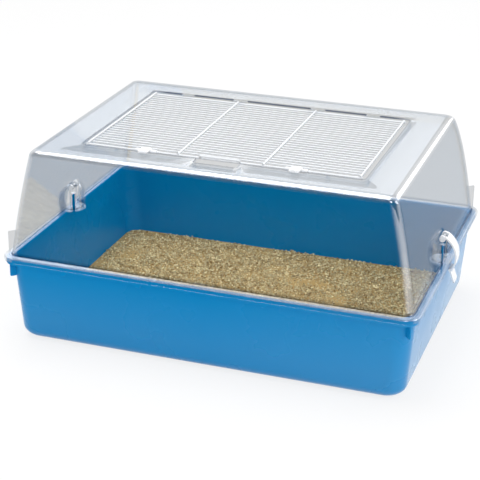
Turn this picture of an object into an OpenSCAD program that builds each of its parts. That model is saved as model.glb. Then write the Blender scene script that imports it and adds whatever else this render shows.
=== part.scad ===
// Plastic pet keeper: a deep coloured tub, a clear cover with a wire grille in its roof, and the clips that
// hold them. X runs along the length, -Y is the front and Z is up. The origin is under the middle of the tub.

/* [Rim] */
// Length over the rim of the cover
rim_l = 550; // [400:1:700]
// Width over the rim of the cover
rim_w = 394; // [320:1:500]
// Corner radius of the rim, seen from above
rim_r = 20; // [18:1:36]
// Height of the top face of the ledge round the cover
ledge_z = 118; // [90:1:160]
// Thickness of the ledge of the cover
ledge_t = 2.2; // [1.6:0.1:3]
// How far the lip of the cover hangs below the top face of the ledge
lip_h = 6; // [4:0.5:9]
// Thickness of the lip of the cover
lip_t = 2.2; // [1.6:0.1:3]
// Clearance between the cover and the tub
seat_gap = 0.3; // [0.2:0.05:0.6]

/* [Tub] */
// Distance from the edge of the rim to the end walls of the tub, at the top
tub_end_inset = 8; // [7.5:0.5:20]
// Distance from the edge of the rim to the front and back walls of the tub, at the top
tub_side_inset = 8; // [7:0.5:14]
// Thickness of the tub walls and floor
tub_t = 3; // [2:0.1:4]
// How far the end walls lean in from the rim to the base
tub_end_draft = 8.5; // [0:0.5:16]
// How far the front and back walls lean in
tub_draft = 3.5; // [0:0.5:12]
// Radius of the bottom edge of the tub
tub_fillet = 15; // [6:1:25]
// Height of the low foot under the tub
foot_h = 1.5; // [0.5:0.1:2]
// How far the foot stands in from the start of the bottom edge
foot_inset = 1; // [0.5:0.1:4]
// Thickness of the flange of the tub
flange_t = 2.5; // [2:0.1:4]
// How far the turned-down edge of the flange hangs below its top face
flange_drop = 7.5; // [5:0.5:12]
// Height of the four gussets under the flange
gusset_h = 24; // [8:1:30]
// Height of the small catches below the front edge of the flange
catch_h = 4; // [2:0.5:8]
// Width of each catch at its root
catch_w = 10; // [6:1:16]
// Width of each catch at its tip
catch_tip_w = 4.8; // [2:0.2:8]
// Distance of the inner catches from the middle
catch_x1 = 83; // [60:1:110]
// Distance of the outer catches from the middle
catch_x2 = 186; // [150:1:210]

/* [Bedding] */
// Depth of the bedding
bedding_h = 10.5; // [4:0.5:60]
// Clearance between the bedding and the tub
bedding_gap = 0.3; // [0.2:0.1:1]
// Height of the low mounds in the bedding
mound_h = 1.1; // [0.5:0.1:1.5]
// Distance from one mound to the next
mound_pitch = 45; // [30:1:90]

/* [Cover] */
// Height of the cover above the ledge
cover_h = 143; // [100:1:190]
// Thickness of the cover walls
wall_t = 2; // [1.5:0.1:3]
// Width of the ledge at the two ends
ledge_end = 9; // [8:0.5:14]
// Width of the ledge at the front
ledge_front = 12; // [9:0.5:18]
// Width of the ledge at the back
ledge_back = 7.5; // [7:0.5:14]
// How far each end wall leans in from the ledge to the roof
lean_end = 29; // [10:1:45]
// How far the front wall leans in
lean_front = 10; // [4:1:30]
// How far the back wall curves in
lean_back = 29; // [10:1:40]
// Radius of the edge between the walls and the roof
roof_fillet = 8; // [4:1:14]
// Corner radius of the cover, seen from above
cover_r = 11; // [9:1:20]
// Height of the ribs outside the corners of the cover
rib_h = 33; // [10:1:50]
// How far the ribs reach out from the cover's foot
rib_reach = 4.5; // [3:0.5:7.5]
// Thickness of the ribs, the lugs and the gussets
rib_t = 2; // [1.5:0.1:3]
// Width of the low tab on the front of the ledge
front_tab_w = 19; // [10:1:30]
// Height of that tab
front_tab_h = 4; // [2:0.5:6]
// Depth of that tab, front to back
front_tab_d = 5; // [3:0.5:6]

/* [Roof opening] */
// Length of the roof opening
open_l = 372; // [300:1:400]
// Front edge of the roof opening, measured forward of the middle
open_front = 126; // [100:1:132]
// Back edge of the roof opening, measured behind the middle
open_back = 117; // [90:1:122]
// Corner radius of the roof opening
open_r = 6; // [4:0.5:12]
// Depth of the collar round the opening
collar_h = 12; // [9:0.5:20]
// Width of the finger bay in the front edge
bay_w = 57; // [40:1:90]
// Depth of the finger bay, front to back
bay_d = 15; // [10:0.5:18]

/* [Grille] */
// Diameter of the edge wires
edge_wire_d = 3; // [2:0.1:4]
// Diameter of the wires across the grille
cross_wire_d = 2.6; // [2:0.1:3.5]
// Diameter of the long wires
long_wire_d = 2; // [1.2:0.1:2.6]
// Distance from the middle of one long wire to the next
wire_pitch = 8.6; // [7:0.1:12]
// Distance of the end wires from the edge of the opening
grille_end_gap = 7; // [5:0.5:12]
// Distance of the front wire from the edge of the opening
grille_front_gap = 6.5; // [6:0.5:10]
// Distance of the hinge wire from the back edge of the opening
grille_back_gap = 11; // [8:0.5:14]
// Distance of the two middle cross wires from the middle
cross_x = 56; // [40:1:80]
// Depth of the middle of the grille below the top of the roof
grille_drop = 2; // [1.5:0.1:4]
// How far two wires sink into each other where they are welded
weld = 0.25; // [0.1:0.05:0.5]
// Diameter of the lift bar
lift_d = 3; // [2:0.1:4]
// How far the lift bar stands forward of the front wire
lift_out = 4; // [3:0.5:6]
// How far the lift bar stands above the front wire
lift_up = 4; // [3:0.5:6]
// Running clearance between a wire or pin and its hole
hinge_gap = 0.08; // [0.02:0.01:0.1]
// Width of each hinge tab
tab_w = 18; // [12:1:26]
// Distance of the outer hinge tabs from the middle
tab_x = 134; // [100:1:160]
// Outer diameter of the hinge tabs round the wire
tab_d = 6.8; // [6:0.1:8]
// Play between a cross wire and the two halves of its hinge tab
split_play = 2.4; // [1:0.1:4]
// Width of the two rests under the front wire
rest_w = 3; // [2:0.5:6]

/* [Roof clips] */
// Distance of the roof clips from the middle
roof_clip_x = 99; // [70:1:150]
// Length of the sleeve of a roof clip
sleeve_l = 28; // [20:1:40]
// Outer diameter of the sleeve
sleeve_d = 5.6; // [5:0.1:7]
// Width of the tongue of a roof clip
tongue_w = 13; // [8:0.5:20]
// How far the tongue reaches over the roof
tongue_reach = 9; // [5:0.5:15]
// Thickness of the tongue
tongue_t = 1.8; // [1.4:0.1:3]
// Height of the grip on the tongue
grip_h = 1; // [0.5:0.1:2]
// Length of the grip
grip_l = 3.5; // [2:0.5:5]
// How far the grip stands in from the edges of the tongue
grip_inset = 1.5; // [1:0.1:2]

/* [Side clips] */
// Radius of the niche in each end wall
niche_r = 18; // [16:0.5:24]
// Height above the ledge at which the niche starts to close
niche_spring = 22; // [14:1:30]
// Outer diameter of the post in the niche
post_d = 11; // [10:0.5:13]
// Height of the clip's pin above the ledge
pin_h = 30; // [24:0.5:36]
// Distance of the pin from the edge of the rim
pin_inset = 12.5; // [11:0.5:15]
// Diameter of the clip's pin
pin_d = 3; // [2:0.1:4]
// Outer diameter of the clip's ears
ear_d = 8.4; // [7:0.2:10]
// Width of a side clip
clip_w = 20; // [16:0.5:26]
// Thickness of the band of a side clip
band_t = 2; // [1.4:0.1:3]
// How far the band bulges beyond the edge of the rim
band_bulge = 7.5; // [6:0.5:12]
// Radius of the outside of the band
band_r = 33; // [30:1:40]
// Length of the finger tongue below the hook
finger_l = 18; // [14:1:30]
// Angle at which the finger tongue flares out
finger_flare = 20; // [0:1:30]
// Height of the tub's locating lug above the ledge
lug_h = 17; // [8:1:20]

/* [Hidden] */
$fn = 48;
tub_blue = "#2f83ba";
clear_tint = [0.85, 0.88, 0.92, 0.35];
wire_white = "#f2f4f6";
litter_tan = "#b8a06c";

corner_steps = 5;                                // facets in each rounded corner of a lofted shell
fillet_steps = 5;                                // facets in the rounded bottom edge
overlap = 0.5;                                   // how deep joined shapes run into each other
edge_r = 1;                                      // softened edge of the rims

roof_z = ledge_z + cover_h;                      // top of the roof
flange_z = ledge_z - ledge_t - seat_gap;         // top face of the tub's flange
flange_l = rim_l / 2 - lip_t - seat_gap;         // half length of the flange
flange_w = rim_w / 2 - lip_t - seat_gap;
flange_r = rim_r - lip_t - seat_gap;
wall_top = flange_z - flange_t;                  // where the tub's wall meets the flange
tub_l = rim_l / 2 - tub_end_inset;               // half length of the tub's outer wall, at the top
tub_w = rim_w / 2 - tub_side_inset;
tub_r = rim_r + 3;
foot_l = rim_l / 2 - ledge_end;                  // half length of the cover's wall, at the ledge
foot_front = rim_w / 2 - ledge_front;
foot_back = rim_w / 2 - ledge_back;
end_bow = 0.3;                                   // share of the end walls' lean that grows with height squared
back_bow = 0.8;                                  // share of the back wall's lean that comes late
back_power = 5;                                  // how late it comes
grille_z = roof_z - grille_drop;                 // middle of the edge and long wires
hinge_y = open_back - grille_back_gap;
front_y = -open_front + grille_front_gap;
end_x = open_l / 2 - grille_end_gap;
cross_z = grille_z + (edge_wire_d + cross_wire_d) / 2 - 3 * weld;
wire_first = hinge_y - wire_pitch + 0.8;         // the long wire next to the hinge
wire_count = floor((wire_first - front_y - 0.8 * wire_pitch) / wire_pitch) + 1;
pin_x = rim_l / 2 - pin_inset;
pin_z = ledge_z + pin_h;
band_cx = rim_l / 2 + band_bulge - band_r;       // centre of the band's curve
band_cz = ledge_z + 5;
hook_z = flange_z - flange_drop - seat_gap;      // top of the side clip's hook
hook_h = 4;
hook_reach = 4.5;                                // how far the hook runs out into the band
hook_tip = 1.5;                                  // height of its blunt tip
pin_reach = 1.5;                                 // the two pins of a clip stop this far from its middle
post_bore = post_d / 2 - 1.8;                    // radius of the hollow inside the post

// ---- shared shapes ----

// Corner points of a rounded rectangle from x = -l to l and y = -front to back, at height z.
function ring(l, front, back, r, z) = [
    for (c = [[l - r, back - r, 0], [-l + r, back - r, 90], [-l + r, -front + r, 180], [l - r, -front + r, 270]])
        for (i = [0 : corner_steps])
            let (a = c[2] + 90 * i / corner_steps)
                [c[0] + r * cos(a), c[1] + r * sin(a), z]
];

// A closed solid through rings of equal count; the first and last rings are its flat ends. With fan, each end
// is a fan of triangles about the Z axis.
module loft(rings, fan = false) {
    n = len(rings[0]);
    m = len(rings);
    points = concat([for (r = rings) for (p = r) p], [[0, 0, rings[0][0][2]], [0, 0, rings[m - 1][0][2]]]);
    sides = [for (k = [0 : m - 2]) for (i = [0 : n - 1]) let (j = (i + 1) % n) each [
        [k * n + i, (k + 1) * n + i, (k + 1) * n + j],
        [k * n + i, (k + 1) * n + j, k * n + j]
    ]];
    first = fan ? [for (i = [0 : n - 1]) [m * n, i, (i + 1) % n]] : [[for (i = [0 : n - 1]) i]];
    last = fan ? [for (i = [0 : n - 1]) [m * n + 1, (m - 1) * n + (i + 1) % n, (m - 1) * n + i]]
               : [[for (i = [n - 1 : -1 : 0]) (m - 1) * n + i]];
    polyhedron(points = fan ? points : [for (k = [0 : m * n - 1]) points[k]], faces = concat(first, sides, last));
}

// A flat rounded rectangle made of squares and circles.
module rounded(x0, x1, y0, y1, r) {
    translate([x0 + r, y0]) square([x1 - x0 - 2 * r, y1 - y0]);
    translate([x0, y0 + r]) square([x1 - x0, y1 - y0 - 2 * r]);
    for (x = [x0 + r, x1 - r])
        for (y = [y0 + r, y1 - r])
            translate([x, y]) circle(r);
}

// A box from one corner to the other.
module block(low, high) {
    translate(low) cube(high - low);
}

// A straight wire along X or Y, centred on its axis.
module wire_x(x0, x1, y, z, d) {
    translate([x0, y, z]) rotate([0, 90, 0]) cylinder(d = d, h = x1 - x0);
}
module wire_y(y0, y1, x, z, d) {
    translate([x, y0, z]) rotate([-90, 0, 0]) cylinder(d = d, h = y1 - y0);
}

// ---- tub ----

// Half length and half width of the tub's outer wall at height z, grown by grow.
function tub_half(grow, z) = let (s = 1 - z / wall_top) [tub_l - tub_end_draft * s + grow, tub_w - tub_draft * s + grow];
function tub_ring(grow, z, r_grow = 0, lean_z = -1) =
    let (h = tub_half(grow, lean_z < 0 ? z : lean_z)) ring(h[0], h[1], h[1], tub_r + r_grow, z);
function flange_ring(out, z) = ring(flange_l - out, flange_w - out, flange_w - out, flange_r - out, z);

// Rings of the tub from its foot, up the outside, over the flange and down the inside.
tub_rings = concat(
    [for (z = [0, foot_h]) tub_ring(-tub_fillet - foot_inset, z, -tub_fillet / 2 - foot_inset, foot_h)],
    [for (i = [0 : fillet_steps]) let (a = 90 * i / fillet_steps, inset = tub_fillet * (1 - sin(a)))
        tub_ring(-inset, foot_h + tub_fillet * (1 - cos(a)), -inset / 2)],
    [tub_ring(0, wall_top)],
    [flange_ring(flange_t, wall_top), flange_ring(flange_t, flange_z - flange_drop),
     flange_ring(0, flange_z - flange_drop), flange_ring(0, flange_z - edge_r), flange_ring(edge_r, flange_z)],
    [tub_ring(edge_r - tub_t, flange_z, 0, wall_top), tub_ring(-tub_t, flange_z - edge_r, -edge_r, wall_top)],
    [for (i = [fillet_steps : -1 : 0])
        let (a = 90 * i / fillet_steps, r = tub_fillet - tub_t, inset = r * (1 - sin(a)))
            tub_ring(-tub_t - inset, tub_t + r * (1 - cos(a)), -edge_r - inset / 2)]
);

// One gusset under a corner of the flange, along the diagonal.
module gusset() {
    foot_z = wall_top - gusset_h;
    share = foot_z / wall_top;
    lean = (tub_end_draft + tub_draft) * (1 - share) / sqrt(2);
    reach = (flange_l - tub_l + flange_w - tub_w + 2 * (tub_r - flange_r) * (1 - cos(45))) / sqrt(2);
    translate([-lean - 2 * overlap, -rib_t / 2, foot_z])
        cube([lean + 2 * overlap + reach - flange_t - overlap, rib_t, gusset_h + overlap]);
}

// A lug that stands up inside the cover's post, on a pad that runs out to the wall.
module lug() {
    half = post_bore - 0.8;
    block([pin_x - rib_t / 2, -half, wall_top], [pin_x + rib_t / 2, half, ledge_z + lug_h]);
    block([pin_x - rib_t / 2, -half, wall_top - overlap], [tub_l - edge_r, half, flange_z - overlap]);
}

module tub() {
    corner_x = tub_l - tub_r * (1 - cos(45));
    corner_y = tub_w - tub_r * (1 - cos(45));
    color(tub_blue) {
        loft(tub_rings);
        for (sx = [-1, 1])
            for (sy = [-1, 1])
                translate([sx * corner_x, sy * corner_y, 0]) rotate([0, 0, atan2(sy, sx)]) gusset();
        for (x = [-catch_x2, -catch_x1, catch_x1, catch_x2])
            translate([x, -flange_w + flange_t / 2, flange_z - flange_drop])
                rotate([90, 0, 0])
                    linear_extrude(flange_t, center = true)
                        polygon([[-catch_w / 2, overlap], [catch_w / 2, overlap],
                                 [catch_tip_w / 2, -catch_h], [-catch_tip_w / 2, -catch_h]]);
        for (s = [-1, 1])
            scale([s, 1, 1]) lug();
    }
}

// ---- bedding ----

// A ring of the bedding with extra points along its four sides.
function between(a, b, n) = [for (k = [1 : n]) a + (b - a) * k / (n + 1)];
function bedding_ring(grow, z, r_grow, lean_z) =
    let (c = tub_ring(grow, z, r_grow, lean_z), m = corner_steps + 1)
        [for (q = [0 : 3]) each concat(
            [for (i = [0 : m - 1]) c[q * m + i]],
            between(c[q * m + m - 1], c[(q * m + m) % (4 * m)], q % 2 == 0 ? 16 : 11))];

// Height of the low mounds above the middle of the bedding's surface.
function mound(x, y) =
    mound_h * (sin(180 * x / mound_pitch + 40) * cos(180 * y / mound_pitch) + 0.5 * sin(100 * (x + y) / mound_pitch));

module bedding() {
    gap = tub_t + bedding_gap;
    r = tub_fillet - tub_t;
    curve = bedding_h < r ? acos(1 - bedding_h / r) : 90;
    top_z = gap + bedding_h;
    edge = bedding_ring(-gap - r * (1 - sin(curve)), top_z, -edge_r - r * (1 - sin(curve)) / 2, top_z - bedding_gap);
    color(litter_tan)
        loft(concat(
            [for (i = [0 : fillet_steps]) let (a = curve * i / fillet_steps, z = r * (1 - cos(a)), inset = r * (1 - sin(a)))
                if (i < fillet_steps || bedding_h > r) bedding_ring(-gap - inset, gap + z, -edge_r - inset / 2, z + tub_t)],
            [edge],
            [for (s = [0.88, 0.75, 0.62, 0.49, 0.36, 0.23, 0.1])
                [for (p = edge) [p[0] * s, p[1] * s, top_z + mound(p[0] * s, p[1] * s)]]]
        ), fan = true);
}

// ---- cover ----

function end_at(s) = foot_l - lean_end * (s * (1 - end_bow) + s * s * end_bow);
function front_at(s) = foot_front - lean_front * s;
function back_at(s) = foot_back - lean_back * (s * (1 - back_bow) + pow(s, back_power) * back_bow);

// A ring of the cover at a share s of its height, inset by i from the outside.
function cover_ring(s, i, z) = ring(end_at(s) - i, front_at(s) - i, back_at(s) - i, cover_r - min(i, 3), z);
function rim_ring(i, z) = ring(rim_l / 2 - i, rim_w / 2 - i, rim_w / 2 - i, rim_r - i, z);
function fillet_in(t) = roof_fillet * (1 - sqrt(1 - t * t));
wall_steps = [0, 0.2, 0.4, 0.6, 0.75, 0.86];
roof_steps = [0.35, 0.65, 0.87, 1];
roof_s = (cover_h - roof_fillet) / cover_h;      // where the wall ends and the roof's edge starts
cover_rings = concat(
    [for (i = [len(roof_steps) - 1 : -1 : 0]) let (t = roof_steps[i], s = roof_s + (1 - roof_s) * t)
        cover_ring(s, wall_t + fillet_in(t), ledge_z + s * cover_h - wall_t * t)],
    [cover_ring(roof_s, wall_t, ledge_z + roof_s * cover_h)],
    [for (i = [len(wall_steps) - 1 : -1 : 0]) let (s = wall_steps[i])
        cover_ring(s, wall_t, i == 0 ? ledge_z - ledge_t : ledge_z + s * cover_h)],
    [rim_ring(lip_t, ledge_z - ledge_t), rim_ring(lip_t, ledge_z - lip_h), rim_ring(0, ledge_z - lip_h),
     rim_ring(0, ledge_z - edge_r), rim_ring(edge_r, ledge_z)],
    [for (s = wall_steps) cover_ring(s, 0, ledge_z + s * cover_h)],
    [cover_ring(roof_s, 0, ledge_z + roof_s * cover_h)],
    [for (t = roof_steps) let (s = roof_s + (1 - roof_s) * t) cover_ring(s, fillet_in(t), ledge_z + s * cover_h)]
);

// Outline of the roof opening with its finger bay, grown by g.
module opening_outline(g) {
    rounded(-open_l / 2 - g, open_l / 2 + g, -open_front - g, open_back + g, open_r + g);
    rounded(-bay_w / 2 - g, bay_w / 2 + g, -open_front - bay_d - g, -open_front + open_r * 2, 3 + g);
}

// The round niche of one end wall, of radius r, from height z0 up.
module niche(r, z0) {
    translate([foot_l, 0, z0]) cylinder(r = r, h = ledge_z + niche_spring - z0);
    translate([foot_l, 0, ledge_z + niche_spring]) sphere(r);
}

// The space on the inner side of the middle of one end wall's thickness.
module inside_end_wall() {
    top = niche_r * 2 + niche_spring;
    lean = foot_l - end_at(top / cover_h);
    face = foot_l - wall_t / 2;
    translate([0, niche_r * 2, 0])
        rotate([90, 0, 0])
            linear_extrude(niche_r * 4)
                polygon([[face - niche_r * 2, ledge_z - ledge_t], [face, ledge_z - ledge_t],
                         [face, ledge_z], [face - lean, ledge_z + top], [face - niche_r * 2, ledge_z + top]]);
}

// The post in the niche that carries the side clip.
module post() {
    translate([pin_x, 0, ledge_z - ledge_t / 2]) cylinder(d = post_d, h = pin_h + ledge_t / 2);
    wire_y(1 - post_d / 2, post_d / 2 - 1, pin_x, pin_z, ear_d);
}

// The hollow of the post, open below, and the hole for the clip's pin.
module post_holes() {
    translate([pin_x, 0, ledge_z - 2 * ledge_t]) cylinder(r = post_bore, h = 2 * ledge_t + lug_h + 2);
    wire_y(-post_d, post_d, pin_x, pin_z, pin_d + 2 * hinge_gap);
}

// One eye of a hinge tab, w wide, centred on x.
module hinge_eye(x, w) {
    wire_x(x - w / 2, x + w / 2, hinge_y, grille_z, tab_d);
    block([x - w / 2, hinge_y, grille_z - tab_d / 2], [x + w / 2, open_back + overlap, grille_z + edge_wire_d / 2]);
}

// The four hinge tabs; the middle two are split, so that the cross wires can swing through.
module hinge_tabs() {
    split = cross_wire_d + split_play;
    half_eye = (tab_w - split) / 2;
    difference() {
        for (s = [-1, 1]) {
            hinge_eye(s * tab_x, tab_w);
            hinge_eye(s * cross_x - (split + half_eye) / 2, half_eye);
            hinge_eye(s * cross_x + (split + half_eye) / 2, half_eye);
        }
        wire_x(-end_x, end_x, hinge_y, grille_z, edge_wire_d + 2 * hinge_gap);
    }
}

// The shell of the cover with the collar round its roof opening.
module cover_shell() {
    difference() {
        loft(cover_rings);
        translate([0, 0, roof_z - wall_t - overlap])
            linear_extrude(wall_t + 2 * overlap) opening_outline(0);
    }
    translate([0, 0, roof_z - collar_h])
        linear_extrude(collar_h - overlap)
            difference() {
                opening_outline(wall_t);
                opening_outline(0);
            }
    translate([0, 0, roof_z - collar_h])
        linear_extrude(wall_t)
            rounded(-bay_w / 2 - 1, bay_w / 2 + 1, -open_front - bay_d - 1, -open_front - 1, 3);
}

// An upright rib at one corner of the ledge, on the diagonal.
module corner_rib(y) {
    lean = (foot_l - end_at(rib_h / cover_h)) * sqrt(2);
    translate([foot_l - cover_r * (1 - cos(45)), y, ledge_z - overlap])
        rotate([0, 0, y > 0 ? 45 : -45])
            translate([-lean, -rib_t / 2, 0])
                cube([rib_reach + lean, rib_t, rib_h + overlap]);
}

module cover() {
    rest_x = (roof_clip_x + end_x) / 2;           // where the front wire rests
    color(clear_tint)
        difference() {
            union() {
                difference() {
                    union() {
                        cover_shell();
                        for (s = [-1, 1])
                            scale([s, 1, 1]) {
                                intersection() {
                                    niche(niche_r + wall_t, ledge_z - ledge_t);
                                    inside_end_wall();
                                }
                                corner_rib(cover_r * (1 - cos(45)) - foot_front);
                                corner_rib(foot_back - cover_r * (1 - cos(45)));
                            }
                    }
                    for (s = [-1, 1])
                        scale([s, 1, 1]) niche(niche_r, ledge_z);
                }
                for (s = [-1, 1]) {
                    scale([s, 1, 1]) post();
                    block([s * rest_x - rest_w / 2, -open_front - overlap, roof_z - collar_h + edge_r],
                          [s * rest_x + rest_w / 2, front_y + edge_wire_d, grille_z - edge_wire_d / 2 - seat_gap]);
                }
                hinge_tabs();
                block([-front_tab_w / 2, -rim_w / 2 + 2 * edge_r, ledge_z - overlap],
                      [front_tab_w / 2, -rim_w / 2 + 2 * edge_r + front_tab_d, ledge_z + front_tab_h]);
            }
            for (s = [-1, 1])
                scale([s, 1, 1]) post_holes();
        }
}

// ---- grille ----

module hinge_wire() {
    color(wire_white) wire_x(-end_x - cross_wire_d, end_x + cross_wire_d, hinge_y, grille_z, edge_wire_d);
}

module front_wire() {
    color(wire_white) wire_x(-end_x - cross_wire_d, end_x + cross_wire_d, front_y, grille_z, edge_wire_d);
}

module end_wires() {
    color(wire_white)
        for (s = [-1, 1])
            wire_y(front_y - cross_wire_d / 2, hinge_y + cross_wire_d / 2, s * end_x, cross_z, cross_wire_d);
}

module cross_wires() {
    color(wire_white)
        for (s = [-1, 1])
            wire_y(front_y - cross_wire_d / 2, hinge_y + cross_wire_d / 2, s * cross_x, cross_z, cross_wire_d);
}

module long_wires() {
    long_z = cross_z - (cross_wire_d + long_wire_d) / 2 + weld;
    color(wire_white)
        for (i = [0 : wire_count - 1])
            wire_x(-end_x - cross_wire_d / 2, end_x + cross_wire_d / 2, wire_first - i * wire_pitch, long_z, long_wire_d);
}

// The lift bar over the finger bay, with a leg at each end down to the front wire.
module lift_bar() {
    reach = bay_w / 2 - lift_d;
    leg_h = norm([lift_out, lift_up]) - edge_wire_d / 2 + weld;
    bar_y = front_y - lift_out;
    bar_z = grille_z + lift_up;
    color(wire_white) {
        wire_x(-reach - lift_d / 2, reach + lift_d / 2, bar_y, bar_z, lift_d);
        for (x = [-reach, reach])
            translate([x, bar_y, bar_z])
                rotate([180 + atan2(lift_out, lift_up), 0, 0]) cylinder(d = lift_d - 0.4, h = leg_h);
    }
}

// ---- roof clips ----

module roof_clip(x) {
    tongue_z = roof_z + seat_gap;
    tongue_y = -open_front - tongue_reach;
    nose_r = 3;
    color(wire_white)
        difference() {
            union() {
                wire_x(x - sleeve_l / 2, x + sleeve_l / 2, front_y, grille_z, sleeve_d);
                translate([0, 0, tongue_z])
                    linear_extrude(tongue_t)
                        rounded(x - tongue_w / 2, x + tongue_w / 2, tongue_y, front_y + sleeve_d / 2, nose_r);
                block([x - tongue_w / 2, front_y - sleeve_d / 2, grille_z + edge_wire_d / 2],
                      [x + tongue_w / 2, front_y + sleeve_d / 2, tongue_z + overlap]);
                translate([0, 0, tongue_z + tongue_t - overlap])
                    linear_extrude(grip_h + overlap)
                        rounded(x - tongue_w / 2 + grip_inset, x + tongue_w / 2 - grip_inset,
                                tongue_y + grip_inset, tongue_y + grip_inset + grip_l, grip_l / 2 - 0.2);
            }
            wire_x(x - sleeve_l / 2 - 1, x + sleeve_l / 2 + 1, front_y, grille_z, edge_wire_d + 2 * hinge_gap);
        }
}
module roof_clip_left() { roof_clip(-roof_clip_x); }
module roof_clip_right() { roof_clip(roof_clip_x); }

// ---- side clips ----

// Side view of the band, the hook below it and the finger tongue, with x across and height up.
module clip_profile() {
    a_top = asin((pin_z - band_cz) / (band_r - band_t)) + 6;
    a_low = asin((hook_z - hook_h / 2 - band_cz) / (band_r - band_t));
    hook_x = flange_l + seat_gap;
    translate([band_cx, band_cz])
        intersection() {
            difference() {
                circle(band_r, $fn = 96);
                circle(band_r - band_t, $fn = 96);
            }
            polygon([[0, 0], 2 * band_r * [cos(a_top), sin(a_top)], [2 * band_r, 0],
                     2 * band_r * [cos(a_low), sin(a_low)]]);
        }
    polygon([[hook_x, hook_z], [hook_x, hook_z - hook_tip], [hook_x + hook_tip, hook_z - hook_h],
             [hook_x + hook_reach - overlap, hook_z - hook_h / 2], [hook_x + hook_reach, hook_z]]);
    translate([hook_x + band_t, hook_z - hook_h + band_t])
        rotate(finger_flare - 90)
            translate([0, -band_t / 2]) square([finger_l, band_t]);
}

// The clip of the right-hand end: ears with short pins, a curved band, a hook and a finger tongue.
module side_clip() {
    ear_y = post_d / 2 + seat_gap;                // inner face of each ear
    low_z = hook_z - hook_h - finger_l;
    tip_r = clip_w / 3;
    color(wire_white) {
        difference() {
            intersection() {
                translate([0, clip_w, 0]) rotate([90, 0, 0]) linear_extrude(2 * clip_w) clip_profile();
                translate([band_cx, 0, 0])
                    rotate([90, 0, 90])
                        linear_extrude(2 * band_r) rounded(-clip_w / 2, clip_w / 2, low_z, roof_z, tip_r);
            }
            wire_y(-ear_y, ear_y, pin_x, pin_z, post_d + 4 * seat_gap);
        }
        for (s = [0, 1])
            mirror([0, s, 0]) {
                wire_y(ear_y, clip_w / 2, pin_x, pin_z, ear_d);
                wire_y(pin_reach, ear_y + overlap, pin_x, pin_z, pin_d);
            }
    }
}
module side_clip_right() { side_clip(); }
module side_clip_left() { mirror([1, 0, 0]) side_clip(); }

tub();
bedding();
cover();
hinge_wire();
front_wire();
end_wires();
cross_wires();
long_wires();
lift_bar();
roof_clip_left();
roof_clip_right();
side_clip_left();
side_clip_right();
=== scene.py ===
import math

import bpy
import numpy as np
from mathutils import Matrix, Vector


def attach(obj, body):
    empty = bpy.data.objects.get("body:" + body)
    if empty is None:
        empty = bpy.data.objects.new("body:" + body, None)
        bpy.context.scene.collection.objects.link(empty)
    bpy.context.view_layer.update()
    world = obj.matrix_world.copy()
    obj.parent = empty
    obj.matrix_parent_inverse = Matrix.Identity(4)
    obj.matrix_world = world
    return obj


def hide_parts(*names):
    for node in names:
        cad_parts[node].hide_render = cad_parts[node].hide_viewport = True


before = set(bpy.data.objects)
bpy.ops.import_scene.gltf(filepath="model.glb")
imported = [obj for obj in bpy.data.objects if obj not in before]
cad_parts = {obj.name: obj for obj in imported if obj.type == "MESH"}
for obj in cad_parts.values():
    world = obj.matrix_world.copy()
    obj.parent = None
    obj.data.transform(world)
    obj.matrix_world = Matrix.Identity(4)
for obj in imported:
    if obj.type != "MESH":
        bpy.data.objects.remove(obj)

# Lengths below are in millimetres unless a comment says otherwise, and become metres where a mesh is made.
mm = 0.001
scene = bpy.context.scene
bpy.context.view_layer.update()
print("stage: frame loaded")


# The photograph's viewpoint in metres, the point it looks at, its roll in degrees and its lens on a 36 mm sensor.
cameraPlan = {"place": (0.563939, -1.670138, 0.856302), "aim": (-0.008271, -0.018948, 0.110550), "roll": 0.4615,
              "lens": 106.187, "sensor": 36, "near": 0.05, "far": 60}


# Camera axes: forward = aim - place; right = forward x up; both turned by the roll about forward.
def makeCamera(plan):
    data = bpy.data.cameras.new("camera")
    data.sensor_width = plan["sensor"]
    data.lens = plan["lens"]
    data.clip_start = plan["near"]
    data.clip_end = plan["far"]
    eye = bpy.data.objects.new("camera", data)
    scene.collection.objects.link(eye)
    place = Vector(plan["place"])
    forward = (Vector(plan["aim"]) - place).normalized()
    right = forward.cross(Vector((0, 0, 1))).normalized()
    up = right.cross(forward)
    turn = math.radians(plan["roll"])
    side = right * math.cos(turn) + up * math.sin(turn)
    top = up * math.cos(turn) - right * math.sin(turn)
    eye.matrix_world = Matrix((
        (side.x, top.x, -forward.x, place.x),
        (side.y, top.y, -forward.y, place.y),
        (side.z, top.z, -forward.z, place.z),
        (0, 0, 0, 1),
    ))
    scene.camera = eye


makeCamera(cameraPlan)
scene.view_settings.view_transform = "Standard"


# Signed volume of a mesh: the sum over the triangles of each face's fan of a . (b x c) / 6.
def signedVolume(verts, faces):
    total = 0.0
    for size in sorted({len(face) for face in faces}):
        corners = verts[np.array([face for face in faces if len(face) == size])]
        fans = np.cross(corners[:, 1:-1], corners[:, 2:])
        total += np.einsum("ij,ikj->", corners[:, 0], fans)
    return total / 6


# One object from vertices in millimetres and faces; edges sharper than the angle stay sharp, the rest shade smooth.
def makeObject(name, verts, faces, material, sharp=35.0):
    mesh = bpy.data.meshes.new(name)
    mesh.from_pydata((np.asarray(verts) * mm).tolist(), [], [tuple(f) for f in faces])
    mesh.shade_smooth()
    mesh.set_sharp_from_angle(angle=math.radians(sharp))
    mesh.materials.append(material)
    mesh.update()
    made = bpy.data.objects.new(name, mesh)
    scene.collection.objects.link(made)
    return made


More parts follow.
